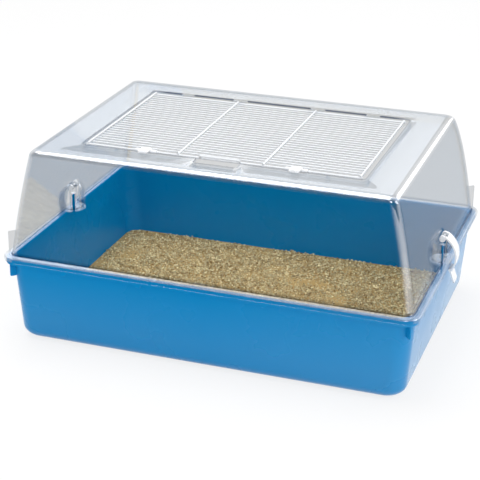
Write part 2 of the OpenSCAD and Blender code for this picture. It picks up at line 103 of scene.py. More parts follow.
# Several closed solids gathered into one list of vertices and faces, each turned outward by the sign of its volume.
class Solids:
    def __init__(self):
        self.verts = []
        self.faces = []
        self.count = 0

    # Appends one closed solid.
    def add(self, verts, faces):
        verts = np.asarray(verts, float)
        if signedVolume(verts, faces) < 0:
            faces = [tuple(reversed(f)) for f in faces]
        self.faces += [tuple(i + self.count for i in f) for f in faces]
        self.verts.append(verts)
        self.count += len(verts)

    # Makes the object.
    def build(self, name, material, sharp=35.0):
        return makeObject(name, np.concatenate(self.verts), self.faces, material, sharp)


# Quads between successive rings of equal count, from point i of ring k to point i + 1 of ring k + 1. It is closed
# either by flat ends or by joining the last ring to the first.
def loftSolid(rings, joined=False):
    n = len(rings[0])
    m = len(rings)
    verts = np.concatenate([np.asarray(r, float) for r in rings])
    here = n * np.arange(m if joined else m - 1)[:, None]
    after = (here + n) % (m * n)
    i = np.arange(n)
    j = (i + 1) % n
    faces = list(map(tuple, np.stack([here + i, here + j, after + j, after + i], 2).reshape(-1, 4).tolist()))
    if not joined:
        faces.append(tuple(range(n - 1, -1, -1)))
        faces.append(tuple(range((m - 1) * n, m * n)))
    return verts, faces


# Unit vectors (cos a, sin a) from one angle to the next in equal steps.
def arc(start, end, steps):
    a = np.radians(np.linspace(start, end, steps + 1))
    return np.stack([np.cos(a), np.sin(a)], 1)


# Rounded rectangle at height z, anticlockwise: x from -l to l, y from -front to back, corner centre + r (cos a, sin a).
def roundedRing(l, front, back, r, z, steps=12):
    parts = []
    for sx, sy, start in ((1, -1, 270), (1, 1, 0), (-1, 1, 90), (-1, -1, 180)):
        edge = back if sy > 0 else front
        parts.append(np.array([sx * (l - r), sy * (edge - r)]) + r * arc(start, start + 90, steps))
    flat = np.concatenate(parts)
    return np.column_stack([flat, np.full(len(flat), z)])


# A straight or bent round bar through the points. Its ends are rounded over squeeze * radius: at the angle a the ring
# lies 1 - sin a of that from the end, and its radius follows the quarter circle, or sqrt(sin a) on a squeezed end.
def barSolid(points, radius, sides=16, capSteps=4, squeeze=1.0):
    # Radius of an end ring.
    def capRadius(a):
        return radius * (1 - (1 - math.sin(a)) ** 2) ** 0.5 if squeeze == 1.0 else radius * math.sin(a) ** 0.5

    points = np.asarray(points, float)
    first = points[1] - points[0]
    last = points[-1] - points[-2]
    first /= np.linalg.norm(first)
    last /= np.linalg.norm(last)
    centres = []
    radii = []
    tangents = []
    caps = np.radians(np.linspace(8, 90, capSteps + 1)[:-1])  # from 8 degrees, so that the flat end stays small
    for a in caps:
        centres.append(points[0] + first * radius * squeeze * (1 - math.sin(a)))
        radii.append(capRadius(a))
        tangents.append(first)
    inner = points.copy()
    inner[0] = points[0] + first * radius * squeeze
    inner[-1] = points[-1] - last * radius * squeeze
    for k, p in enumerate(inner):
        back = inner[max(k - 1, 0)]
        ahead = inner[min(k + 1, len(inner) - 1)]
        step = ahead - back
        centres.append(p)
        radii.append(radius)
        tangents.append(step / np.linalg.norm(step))
    for a in caps[::-1]:
        centres.append(points[-1] - last * radius * squeeze * (1 - math.sin(a)))
        radii.append(capRadius(a))
        tangents.append(last)
    side = np.cross(tangents[0], (0.0, 0.0, 1.0))
    if np.linalg.norm(side) < 0.1:
        side = np.cross(tangents[0], (0.0, 1.0, 0.0))
    side /= np.linalg.norm(side)
    angles = np.linspace(0, 2 * math.pi, sides, endpoint=False)
    rings = []
    for c, r, t in zip(centres, radii, tangents):
        side = side - t * np.dot(side, t)
        side /= np.linalg.norm(side)
        up = np.cross(t, side)
        rings.append(c + r * (np.cos(angles)[:, None] * side + np.sin(angles)[:, None] * up))
    return loftSolid(rings)


# A box with softened edges, lofted along the axis of the given number: the rounded outline is inset by e at both faces,
# by 0.3 e a little further in, and by nothing from e inward.
def slabSolid(low, high, r, e=0.35, axis=2, steps=4):
    low = np.asarray(low, float)
    high = np.asarray(high, float)
    order = {0: (1, 2, 0), 1: (2, 0, 1), 2: (0, 1, 2)}[axis]
    mid = (low + high) / 2
    long, wide, thick = ((high - low) / 2)[list(order)]
    rings = []
    for inset, level in ((e, -1), (e * 0.3, -1 + 0.3 * e / thick), (0, -1 + e / thick), (0, 1 - e / thick),
                         (e * 0.3, 1 - 0.3 * e / thick), (e, 1)):
        flat = roundedRing(long - inset, wide - inset, wide - inset, max(r - inset, 0.15), level * thick, steps)
        ring = np.zeros_like(flat)
        ring[:, list(order)] = flat
        rings.append(ring + mid)
    return loftSolid(rings)


# A new node material with one Principled shader whose sockets take the given values.
def newMaterial(name, **values):
    made = bpy.data.materials.new(name)
    made.use_nodes = True
    shader = made.node_tree.nodes["Principled BSDF"]
    for key, value in values.items():
        shader.inputs[key.replace("_", " ")].default_value = value
    return made, made.node_tree.nodes, made.node_tree.links, shader


# A noise texture on object coordinates: size is the length of one blob in millimetres.
def addNoise(nodes, links, size, detail=2.0):
    place = nodes.new("ShaderNodeTexCoord")
    noise = nodes.new("ShaderNodeTexNoise")
    noise.inputs["Scale"].default_value = 1000.0 / size
    noise.inputs["Detail"].default_value = detail
    links.new(place.outputs["Object"], noise.inputs["Vector"])
    return noise


# Maps a value from 0.3..0.7 of a noise to the range low..high.
def addRange(nodes, links, source, low, high):
    span = nodes.new("ShaderNodeMapRange")
    span.inputs["From Min"].default_value = 0.3
    span.inputs["From Max"].default_value = 0.7
    span.inputs["To Min"].default_value = low
    span.inputs["To Max"].default_value = high
    links.new(source, span.inputs["Value"])
    return span.outputs["Result"]


# Bump of the given depth in millimetres from a height value.
def addBump(nodes, links, shader, height, depth, strength=1.0):
    bump = nodes.new("ShaderNodeBump")
    bump.inputs["Strength"].default_value = strength
    bump.inputs["Distance"].default_value = depth * mm
    links.new(height, bump.inputs["Height"])
    links.new(bump.outputs["Normal"], shader.inputs["Normal"])


# Slow changes of roughness from low to high and a fine bump; blob sizes and the bump's depth are in millimetres.
def addFinish(nodes, links, shader, slow, detail, low, high, fine, depth, strength):
    wave = addNoise(nodes, links, slow, detail)
    links.new(addRange(nodes, links, wave.outputs["Fac"], low, high), shader.inputs["Roughness"])
    grain = addNoise(nodes, links, fine, 2)
    addBump(nodes, links, shader, grain.outputs["Fac"], depth, strength)


# One arithmetic node: the second value is a number or another output.
def addMath(nodes, links, kind, first, second, clamp=False):
    made = nodes.new("ShaderNodeMath")
    made.operation = kind
    made.use_clamp = clamp
    links.new(first, made.inputs[0])
    if isinstance(second, float):
        made.inputs[1].default_value = second
    else:
        links.new(second, made.inputs[1])
    return made.outputs["Value"]


# A colour between two colours by a share: each is a fixed colour or another output.
def addMix(nodes, links, share, first, second):
    made = nodes.new("ShaderNodeMix")
    made.data_type = "RGBA"
    links.new(share, made.inputs["Factor"])
    for slot, value in ((6, first), (7, second)):
        if isinstance(value, tuple):
            made.inputs[slot].default_value = value
        else:
            links.new(value, made.inputs[slot])
    return made.outputs[2]


# Linear colour of a screen colour given as 0..255: ((c/255 + 0.055) / 1.055) ^ 2.4 above the toe.
def screen(r, g, b):
    out = []
    for c in (r / 255, g / 255, b / 255):
        out.append(c / 12.92 if c <= 0.04045 else ((c + 0.055) / 1.055) ** 2.4)
    return (*out, 1.0)


# Moulded blue plastic: satin gloss, a faint orange-peel bump and slow changes of roughness. Its gloss and a pale sheen
# of the tint colour are painted light and shade by position: low = start - fall * z and right = rise * x, both held to
# 0..1, with x and z in metres, make a painted shade band under the rim and a painted highlight towards the right end.
# The painted gloss is its low share times low, plus right. The painted sheen is its share times (low + right) on faces
# that look outward, else 0.
tubLook = {"colour": (0.0, 0.235, 0.54, 1), "tint": (0.82, 0.92, 1.0, 1), "index": 1.36, "sheenRough": 0.3,
           "start": 1.4, "fall": 12.0, "rise": 1.4, "paintedGlossLow": 0.62, "paintedSheen": 0.8, "outward": 50.0}


def tubPlastic():
    p = tubLook
    made, nodes, links, shader = newMaterial("tub_plastic", Base_Color=p["colour"], IOR=p["index"],
                                             Sheen_Roughness=p["sheenRough"], Sheen_Tint=p["tint"])
    addFinish(nodes, links, shader, 60, 3, 0.24, 0.34, 2.2, 0.02, 0.5)
    place = nodes.new("ShaderNodeTexCoord")
    facing = nodes.new("ShaderNodeVectorMath")
    facing.operation = "DOT_PRODUCT"
    links.new(place.outputs["Normal"], facing.inputs[0])
    links.new(place.outputs["Object"], facing.inputs[1])
    outer = addMath(nodes, links, "MULTIPLY", facing.outputs["Value"], p["outward"], True)
    parts = nodes.new("ShaderNodeSeparateXYZ")
    links.new(place.outputs["Object"], parts.inputs["Vector"])
    # Painted shade under the rim and painted highlight towards the right end: gloss and sheen follow height and x.
    drop = addMath(nodes, links, "MULTIPLY", parts.outputs["Z"], -p["fall"])
    low = addMath(nodes, links, "ADD", drop, p["start"], True)
    right = addMath(nodes, links, "MULTIPLY", parts.outputs["X"], p["rise"], True)
    paintedGlossLow = addMath(nodes, links, "MULTIPLY", low, p["paintedGlossLow"])
    links.new(addMath(nodes, links, "ADD", paintedGlossLow, right, True), shader.inputs["Specular IOR Level"])
    paintedSheen = addMath(nodes, links, "MULTIPLY", addMath(nodes, links, "ADD", low, right), p["paintedSheen"])
    links.new(addMath(nodes, links, "MULTIPLY", paintedSheen, outer, True), shader.inputs["Sheen Weight"])
    return made


# Clear moulded plastic, one skin of it. What passes is tinted: facing + (slanted - facing) * (1 - cos)^power, because
# light crosses more plastic where the wall is seen at a slant. The mark bend is a painted pale highlight that takes the
# tint away, and the mark edge is a painted dark line that darkens it to the edge colour. The mirror share is gain *
# (Fresnel - matt) up to a limit, and no less than bend times the mark bend, a painted reflection.
clearPlan = {"colour": (0.97, 0.98, 1.0, 1), "index": 1.4, "matt": 0.03, "gain": 0.33, "limit": 0.3, "bend": 0.34,
             "power": 2.5, "facing": (0.965, 0.97, 0.975, 1), "slanted": (0.83, 0.872, 0.914, 1),
             "edge": (0.3, 0.34, 0.42, 1)}


def clearPlastic():
    p = clearPlan
    made, nodes, links, shader = newMaterial("clear_plastic", Base_Color=p["colour"], Metallic=1.0)
    slow = addNoise(nodes, links, 45, 1)
    links.new(addRange(nodes, links, slow.outputs["Fac"], 0.03, 0.06), shader.inputs["Roughness"])
    addBump(nodes, links, shader, slow.outputs["Fac"], 0.12, 0.4)
    marks = nodes.new("ShaderNodeVertexColor")
    marks.layer_name = "marks"
    parts = nodes.new("ShaderNodeSeparateColor")
    links.new(marks.outputs["Color"], parts.inputs["Color"])
    mirror = nodes.new("ShaderNodeFresnel")
    mirror.inputs["IOR"].default_value = p["index"]
    above = addMath(nodes, links, "SUBTRACT", mirror.outputs["Fac"], p["matt"], True)
    scaled = addMath(nodes, links, "MULTIPLY", above, p["gain"])
    limit = addMath(nodes, links, "MINIMUM", scaled, p["limit"])
    bend = addMath(nodes, links, "MULTIPLY", parts.outputs["Red"], p["bend"])
    share = addMath(nodes, links, "MAXIMUM", limit, bend)
    slant = nodes.new("ShaderNodeLayerWeight")
    slant.inputs["Blend"].default_value = 0.5
    power = addMath(nodes, links, "POWER", slant.outputs["Facing"], p["power"])
    tint = addMix(nodes, links, power, p["facing"], p["slanted"])
    # Red mark: painted pale highlight that lifts the tint to white; green mark: painted dark line.
    light = addMix(nodes, links, parts.outputs["Red"], tint, (1, 1, 1, 1))
    dark = addMix(nodes, links, parts.outputs["Green"], light, p["edge"])
    through = nodes.new("ShaderNodeBsdfTransparent")
    links.new(dark, through.inputs["Color"])
    mix = nodes.new("ShaderNodeMixShader")
    links.new(share, mix.inputs["Fac"])
    links.new(through.outputs["BSDF"], mix.inputs[1])
    links.new(shader.outputs["BSDF"], mix.inputs[2])
    links.new(mix.outputs["Shader"], nodes["Material Output"].inputs["Surface"])
    return made


# White powder-coated wire: soft gloss with a fine pebbled bump.
def coatedWire():
    made, nodes, links, shader = newMaterial("coated_wire", Base_Color=(0.78, 0.8, 0.83, 1), Roughness=0.38, IOR=1.5)
    addFinish(nodes, links, shader, 25, 2, 0.32, 0.45, 0.9, 0.03, 0.5)
    return made


# White moulded plastic of the clips: smooth and glossy, with slow changes of roughness and a faint bump.
def clipPlastic():
    made, nodes, links, shader = newMaterial("clip_plastic", Base_Color=(0.87, 0.88, 0.9, 1), IOR=1.5)
    addFinish(nodes, links, shader, 12, 2, 0.22, 0.32, 1.6, 0.02, 0.4)
    return made


# Dry plant granules: the colour comes from each granule's own attribute, darkened by a fine grain.
def granulePlastic(name):
    made, nodes, links, shader = newMaterial(name, Roughness=0.85, IOR=1.4)
    tone = nodes.new("ShaderNodeVertexColor")
    tone.layer_name = "tone"
    fine = addNoise(nodes, links, 1.1, 3)
    shade = addRange(nodes, links, fine.outputs["Fac"], 0.82, 1.08)
    mix = nodes.new("ShaderNodeVectorMath")
    mix.operation = "SCALE"
    links.new(tone.outputs["Color"], mix.inputs[0])
    links.new(shade, mix.inputs["Scale"])
    links.new(mix.outputs["Vector"], shader.inputs["Base Color"])
    addBump(nodes, links, shader, fine.outputs["Fac"], 0.15, 0.6)
    return made


blueSkin = tubPlastic()
clearSkin = clearPlastic()
wireSkin = coatedWire()
clipSkin = clipPlastic()
grainSkin = granulePlastic("granules")
print("stage: materials")


tubPlan = {
    "halfLength": 267.0, "halfWidth": 189.0, "corner": 23.0, "endDraft": 8.5, "draft": 3.5, "wall": 3.0, "fillet": 15.0,
    "foot": 1.5, "footInset": 1.0, "topZ": 115.5, "flangeLength": 272.5, "flangeWidth": 194.5, "flangeCorner": 17.5,
    "flangeZ": 113.0, "gussetHeight": 24.0, "gussetRoot": -2.8, "gussetReach": 7.0, "cornerSteps": 14,
    "flangeProfile": ((2.6, 113.0), (2.5, 112.7), (2.5, 108.7), (2.2, 108.15), (1.7, 108.0), (0.8, 108.0),
                      (0.25, 108.2), (0.0, 108.8), (0.0, 114.3), (0.3, 115.1), (1.1, 115.5)),  # (inset, height)
    "catchX": (-186.0, -83.0, 83.0, 186.0), "catchY": -193.25,
    "catchProfile": ((5.0, 108.6, 1.2), (4.8, 107.8, 1.2), (2.6, 104.6, 1.1), (2.2, 104.0, 0.6)),  # half w, z, half d
    "lugX": 262.5, "lugHalf": 2.9, "lugPlate": (113.5, 135), "lugPad": (112.6, 115.0), "lugEnd": 266,
}


# One ring of the tub's wall at height z, grown outward: half size - draft * (1 - z / flange height) + grow.
def tubRing(grow, z, rGrow=0.0, leanZ=None):
    p = tubPlan
    s = 1 - (z if leanZ is None else leanZ) / p["flangeZ"]
    l = p["halfLength"] - p["endDraft"] * s + grow
    w = p["halfWidth"] - p["draft"] * s + grow
    return roundedRing(l, w, w, p["corner"] + rGrow, z, p["cornerSteps"])


# One ring of the flange, inset by out from its edge, at height z.
def flangeRing(out, z):
    p = tubPlan
    return roundedRing(p["flangeLength"] - out, p["flangeWidth"] - out, p["flangeWidth"] - out,
                       p["flangeCorner"] - out, z, p["cornerSteps"])


# The tub shell from its foot up the outside, over the flange with its turned-down edge, and down the inside. Both
# bottom edges are quarter circles: height = r (1 - cos a), inset = r (1 - sin a).
def tubShell():
    p = tubPlan
    foot = p["foot"]
    start = -p["fillet"] - p["footInset"]
    turn = -p["fillet"] / 2 - 1
    rings = [tubRing(start - 0.3, 0, turn - 0.3, foot)]
    rings += [tubRing(start, z, turn, foot) for z in (0.3, foot)]
    for a in np.radians(np.linspace(0, 90, 13)):
        z = foot + p["fillet"] * (1 - math.cos(a))
        inset = p["fillet"] * (1 - math.sin(a))
        rings.append(tubRing(-inset, z, -inset / 2))
    rings += [tubRing(0, z) for z in np.linspace(foot + p["fillet"], p["flangeZ"] - 1.5, 6)[1:]]
    rings.append(tubRing(0.4, p["flangeZ"] - 0.4))
    rings.append(tubRing(1.4, p["flangeZ"]))
    rings += [flangeRing(out, z) for out, z in p["flangeProfile"]]
    for grow, drop, rGrow in ((-2.0, 0.0, 0.0), (-2.7, 0.3, -0.7), (-3.0, 1.0, -1.0)):
        rings.append(tubRing(grow, p["topZ"] - drop, rGrow, p["flangeZ"]))
    inner = p["fillet"] - p["wall"]
    rings += [tubRing(-p["wall"], z, -1) for z in np.linspace(p["topZ"] - 3, p["wall"] + inner, 6)[:-1]]
    for a in np.radians(np.linspace(90, 0, 11)):
        z = p["wall"] + inner * (1 - math.cos(a))
        inset = inner * (1 - math.sin(a))
        rings.append(tubRing(-p["wall"] - inset, z, -1 - inset / 2))
    return loftSolid(rings)


# The tub with its gussets, catches and the two lugs that stand inside the cover's posts. A gusset is a plate on the
# corner's diagonal, point = foot + out * u + side * t, whose far and low edges are inset by e at both faces.
def makeTub():
    p = tubPlan
    solids = Solids()
    solids.add(*tubShell())
    across = p["corner"] * (1 - math.cos(math.pi / 4))
    low = p["flangeZ"] - p["gussetHeight"]
    for sx in (-1, 1):
        for sy in (-1, 1):
            foot = np.array([sx * (p["halfLength"] - across), sy * (p["halfWidth"] - across)])
            out = np.array([sx, sy]) / math.sqrt(2)
            side = np.array([-out[1], out[0]])
            reach, top = p["gussetReach"], p["flangeZ"] + 0.2
            u = np.array([p["gussetRoot"], reach - 1, reach, reach, p["gussetRoot"]])
            z = np.array([low, low, low + 1, top, top])
            rings = []
            for t, e in ((-1.0, 0.3), (-0.7, 0.0), (0.7, 0.0), (1.0, 0.3)):
                flat = foot + out * (u - e * (u > 3))[:, None] + side * t
                rings.append(np.column_stack([flat, z + e * (z < low + 2)]))
            solids.add(*loftSolid(rings))
    y = p["catchY"]
    for x in p["catchX"]:
        solids.add(*loftSolid([[(x - w, y - d, z), (x + w, y - d, z), (x + w, y + d, z), (x - w, y + d, z)]
                               for w, z, d in p["catchProfile"]]))
    half = p["lugHalf"]
    for s in (-1, 1):
        lug = s * p["lugX"]
        left, right = (lug - 1, p["lugEnd"]) if s > 0 else (-p["lugEnd"], lug + 1)
        for x0, x1, (z0, z1), r in ((lug - 1, lug + 1, p["lugPlate"], 0.7), (left, right, p["lugPad"], 0.5)):
            solids.add(*slabSolid((x0, -half, z0), (x1, half, z1), r, 0.3))
    return solids.build("tub_shell", blueSkin)


tub = makeTub()
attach(tub, "tub_body")
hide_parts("tub")
print("stage: tub")


beddingPlan = {
    "top": 12.6, "halfLength": 255.4, "halfWidth": 181.9, "corner": 21.3, "mound": 0.9, "moundPitch": 45.0,
    "fillet": 12.0, "floor": 3.3, "dark": (158, 124, 68), "pale": (255, 243, 196), "bed": (196, 164, 106),
    "lower": {"pitch": 3.45, "lift": 0.5, "radius": (1.5, 2.4), "seed": 3},
    "upper": {"pitch": 6.6, "lift": 1.9, "radius": (1.3, 2.5), "seed": 5},
}


# Low mounds of the bedding, as in the solid, with smaller ripples: sums of crossed sines of x, y and x + y.
def beddingWave(x, y):
    p = beddingPlan
    k = math.pi / p["moundPitch"]
    low = p["mound"] * (np.sin(k * x + 0.7) * np.cos(k * y) + 0.5 * np.sin(k * (x + y) / 1.8))
    return low + 0.35 * np.sin(x / 9.5 + y / 13 + 2.1) + 0.2 * np.cos(x / 6.1 - y / 7.3)


# True where (x, y) lies in the rounded rectangle of the bedding, less a margin.
def insideBedding(x, y, margin):
    p = beddingPlan
    r = p["corner"]
    dx = np.maximum(np.abs(x) - (p["halfLength"] - margin - r), 0)
    dy = np.maximum(np.abs(y) - (p["halfWidth"] - margin - r), 0)
    return np.hypot(dx, dy) < r


# A field of granules on a jittered triangular grid. Each is a five-sided double cone with uneven points: a ring of five
# at size * wobble and a point above and below. It is tilted about X, then turned about Z. Its colour is
# (dark + (pale - dark) * share) * brightness, both drawn at random.
def granuleField(name, pitch, lift, radius, seed):
    sides = 5
    points = sides + 2
    pick = np.random.default_rng(seed)
    xs = np.arange(-260, 260, pitch)
    ys = np.arange(-190, 190, pitch * 0.866)
    gx, gy = np.meshgrid(xs, ys)
    gx = gx + (np.arange(len(ys)) % 2)[:, None] * pitch / 2
    gx = (gx + pick.uniform(-0.42, 0.42, gx.shape) * pitch).ravel()
    gy = (gy + pick.uniform(-0.42, 0.42, gy.shape) * pitch).ravel()
    keep = insideBedding(gx, gy, radius[0])
    gx, gy = gx[keep], gy[keep]
    n = len(gx)
    size = pick.uniform(radius[0], radius[1], n)
    angles = np.linspace(0, 2 * math.pi, sides, endpoint=False)
    shape = np.zeros((n, points, 3))
    wobble = pick.uniform(0.65, 1.2, (n, sides))
    shape[:, :sides, 0] = np.cos(angles) * wobble * size[:, None]
    shape[:, :sides, 1] = np.sin(angles) * wobble * size[:, None] * pick.uniform(0.6, 1.0, (n, 1))
    shape[:, :sides, 2] = pick.uniform(-0.3, 0.3, (n, sides)) * size[:, None]
    for point, way in ((sides, 1), (sides + 1, -1)):
        shape[:, point, :2] = pick.uniform(-0.4, 0.4, (n, 2)) * size[:, None]
        shape[:, point, 2] = way * size * pick.uniform(0.45, 0.85, n)
    yaw = pick.uniform(0, 2 * math.pi, n)
    tilt = pick.normal(0, 0.38, n)
    ct, st = np.cos(tilt)[:, None], np.sin(tilt)[:, None]
    y1 = shape[:, :, 1] * ct - shape[:, :, 2] * st
    z1 = shape[:, :, 1] * st + shape[:, :, 2] * ct
    cy, sy = np.cos(yaw)[:, None], np.sin(yaw)[:, None]
    x2 = shape[:, :, 0] * cy - y1 * sy
    y2 = shape[:, :, 0] * sy + y1 * cy
    high = beddingPlan["top"] + lift + beddingWave(gx, gy) + pick.uniform(-0.5, 0.6, n)
    verts = np.stack([x2 + gx[:, None], y2 + gy[:, None], z1 + high[:, None]], 2).reshape(-1, 3)
    k = np.arange(sides)
    ahead = (k + 1) % sides
    upper = np.column_stack([k, ahead, np.full(sides, sides)])
    lower = np.column_stack([ahead, k, np.full(sides, sides + 1)])
    faces = (np.concatenate([upper, lower])[None] + points * np.arange(n)[:, None, None]).reshape(-1, 3)
    mesh = bpy.data.meshes.new(name)
    mesh.from_pydata((verts * mm).tolist(), [], faces.tolist())
    dark, pale = (np.array(screen(*beddingPlan[key])[:3]) for key in ("dark", "pale"))
    share = np.clip(pick.beta(2.2, 2.0, n), 0, 1)[:, None]
    tone = dark * (1 - share) + pale * share
    tone *= pick.uniform(0.68, 1.26, (n, 1))
    layer = mesh.color_attributes.new("tone", "FLOAT_COLOR", "POINT")
    layer.data.foreach_set("color", np.column_stack([np.repeat(tone, points, 0), np.ones(points * n)]).ravel())
    mesh.materials.append(grainSkin)
    made = bpy.data.objects.new(name, mesh)
    scene.collection.objects.link(made)
    print("granules", name, n)
    return made


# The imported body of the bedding: rings up the tub's inner fillet, height = r (1 - cos a), inset = r (1 - sin a). Its
# top is the last ring shrunk towards the middle and raised by the wave, which fades in over the outer twelfth.
def makeBed():
    p = beddingPlan
    rings = []
    curve = math.acos(1 - (p["top"] - 3.0) / p["fillet"])
    for a in np.linspace(0, curve, 7):
        z = p["fillet"] * (1 - math.cos(a))
        inset = p["fillet"] * (1 - math.sin(a))
        rings.append(tubRing(-p["floor"] - inset, z + p["floor"], -1 - inset / 2, z + 3))
    edge = rings[-1]
    for share in np.linspace(1, 0.03, 26)[1:]:
        ring = edge * (share, share, 1)
        ring[:, 2] = p["top"] + 0.2 + beddingWave(ring[:, 0], ring[:, 1]) * min(1, 12 * (1 - share))
        rings.append(ring)
    solids = Solids()
    solids.add(*loftSolid(rings))
    made = solids.build("bedding_bed", grainSkin, 60)
    layer = made.data.color_attributes.new("tone", "FLOAT_COLOR", "POINT")
    layer.data.foreach_set("color", np.tile(screen(*p["bed"]), solids.count))
    return made


bed = makeBed()
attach(bed, "tub_body")
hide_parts("bedding")
lowerGrains = granuleField("bedding_granules", **beddingPlan["lower"])
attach(lowerGrains, "tub_body")
upperGrains = granuleField("bedding_top_granules", **beddingPlan["upper"])
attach(upperGrains, "tub_body")
print("stage: bedding")


coverPlan = {
    "ledgeZ": 118.0, "height": 143.0, "wall": 2.0, "ledge": 2.2, "lipDrop": 6.0, "lip": 2.2, "rimLength": 275.0,
    "rimWidth": 197.0, "rimCorner": 20.0, "footLength": 266.0, "footFront": 185.0, "footBack": 189.5, "corner": 11.0,
    "leanEnd": 29.0, "leanFront": 10.0, "leanBack": 29.0, "endBow": 0.3, "backBow": 0.8, "backPower": 5,
    "roofFillet": 8.0, "nicheRadius": 18.0, "nicheSpring": 140.0, "nicheStep": 0.02, "cornerSteps": 12, "sideSteps": 3,
    "nicheSteps": 30, "roofHalf": 40.4, "openLength": 186.0, "openFront": 126.0, "openBack": 117.0, "openCorner": 6.0,
    "bayWidth": 28.5, "bayDepth": 15.0, "backX": (165, 144, 143, 125, 124, 105, 85, 67, 66, 46, 45, 25),
    "backSpan": 180.0, "tabsX": ((45.5, 66.5), (124.5, 143.5)), "bayPaintedGlintX": (26, 32), "bayPaintedGlintY": -128,
    "bayPaintedGlint": 0.6, "openPaintedShade": 0.35,
    "openProfile": ((2.2, 0.0, 0), (1.3, 0.0, 0), (0.75, 0.15, 1), (0.3, 0.5, 1), (0.05, 1.1, 1), (0.0, 1.8, 1),
                    (0.0, 2.6, 0), (0.0, 11.2, 0), (0.15, 11.8, 0.7), (0.6, 12.0, 0.7), (1.4, 12.0, 0), (1.85, 11.8, 0),
                    (2.0, 11.2, 0), (2.0, 3.0, 0), (2.25, 2.3, 0), (3.0, 2.0, 0)),  # (grow, drop, painted dark line)
}
backX = np.array(coverPlan["backX"])
backShare = np.concatenate([backX, [0], -backX[::-1]]) / coverPlan["backSpan"]


# Half lengths of the cover's wall at the share s of its height: foot - lean * (mix of s and a power of s).
def coverHalf(s):
    p = coverPlan
    end = p["footLength"] - p["leanEnd"] * (s * (1 - p["endBow"]) + s * s * p["endBow"])
    front = p["footFront"] - p["leanFront"] * s
    back = p["footBack"] - p["leanBack"] * (s * (1 - p["backBow"]) + s ** p["backPower"] * p["backBow"])
    return end, front, back


# Half width at which the niche ball or barrel of the given radius meets the wall at x = end, at height z.
def nicheHalf(radius, end, z):
    rise = max(0.0, z - coverPlan["nicheSpring"])
    return math.sqrt(max(radius ** 2 - rise ** 2 - (coverPlan["footLength"] - end) ** 2, 0.0))


# Points along one end of a ring: the niche at its middle follows x = foot - sqrt(radius^2 - y^2 - rise^2).
def endPoints(end, low, high, z, half, radius, even):
    p = coverPlan
    theta = np.linspace(-math.pi / 2, math.pi / 2, p["nicheSteps"] + 1)
    k = p["sideSteps"]
    y = np.concatenate([np.linspace(low, -half, k + 2)[1:-1], half * np.sin(theta),
                        np.linspace(half, high, k + 2)[1:-1]])
    straight = np.linspace(low, high, len(y) + 2)[1:-1]
    y = y * (1 - even) + straight * even
    x = np.full(len(y), end)
    if radius:
        rise = max(0.0, z - p["nicheSpring"])
        deep = p["footLength"] - np.sqrt(np.maximum(radius ** 2 - rise ** 2 - y ** 2, 0))
        x = np.where(np.abs(y) < half, np.minimum(deep, end), end)
    return x, y


# Path of the opening's front edge with the finger bay, grown by g, from left to right: straight, a quarter circle out,
# a quarter circle in, straight, and the same mirrored.
def bayPath(g):
    p = coverPlan
    front = p["openFront"] + g
    straight = p["openLength"] - p["openCorner"]
    w = p["bayWidth"] + g
    soft = max(2.5 - g, 0.4)
    deep = p["openFront"] + p["bayDepth"] + g
    inner = 3.0 + g
    before = np.linspace(-straight, -w - soft, 9)[1:-1]
    after = np.linspace(-w + inner, 0, 4)[1:]
    left = np.concatenate([
        np.column_stack([before, np.full(len(before), -front)]),
        np.array([-w - soft, -front - soft]) + soft * arc(90, 0, 5),
        np.array([-w + inner, -deep + inner]) + inner * arc(180, 270, 6),
        np.column_stack([after, np.full(len(after), -deep)])])
    return np.concatenate([left, left[-2::-1] * (-1, 1)])


bayStart = bayPath(0.0)
bayCount = len(bayStart)
bayEnds = np.array([(-1, -1), (1, -1)]) * (coverPlan["backSpan"], coverPlan["openFront"])
baySteps = np.hypot(*np.diff(np.vstack([bayEnds[:1], bayStart, bayEnds[1:]]), axis=0).T)
bayShare = np.cumsum(baySteps)[:-1] / baySteps.sum()


# Assembles a ring: front right corner, right end, back right corner, back, back left corner, left end, front left
# corner, front. The end and front points are passed in.
def assemble(l, front, back, r, z, endX, endY, frontPoints):
    corners = np.split(roundedRing(l, front, back, r, z, coverPlan["cornerSteps"])[:, :2], 4)
    rear = (l - r) * backShare
    flat = np.concatenate([
        corners[0], np.column_stack([endX, endY]), corners[1], np.column_stack([rear, np.full(len(rear), back)]),
        corners[2], np.column_stack([-endX[::-1], endY[::-1]]), corners[3], frontPoints])
    return np.column_stack([flat, np.full(len(flat), z)])


# A ring of the wall: half lengths l, front and back, corner radius r, with a niche of the given radius if any.
def wallRing(l, front, back, r, z, radius=0.0, half=None, even=0.0):
    if half is None:
        half = nicheHalf(radius, l, z) if radius else coverPlan["nicheRadius"]
    half = max(half, 0.25)
    endX, endY = endPoints(l, -front + r, back - r, z, half, radius, even)
    span = l - r
    frontPoints = np.column_stack([-span + 2 * span * bayShare, np.full(bayCount, -front)])
    return assemble(l, front, back, r, z, endX, endY, frontPoints)


# A ring of the roof opening, grown by g.
def openingRing(g, z):
    p = coverPlan
    l = p["openLength"] + g
    front = p["openFront"] + g
    back = p["openBack"] + g
    r = p["openCorner"] + g
    count = p["nicheSteps"] + 1 + 2 * p["sideSteps"]
    endY = np.linspace(-front + r, back - r, count + 2)[1:-1]
    return assemble(l, front, back, r, z, np.full(count, l), endY, bayPath(g))


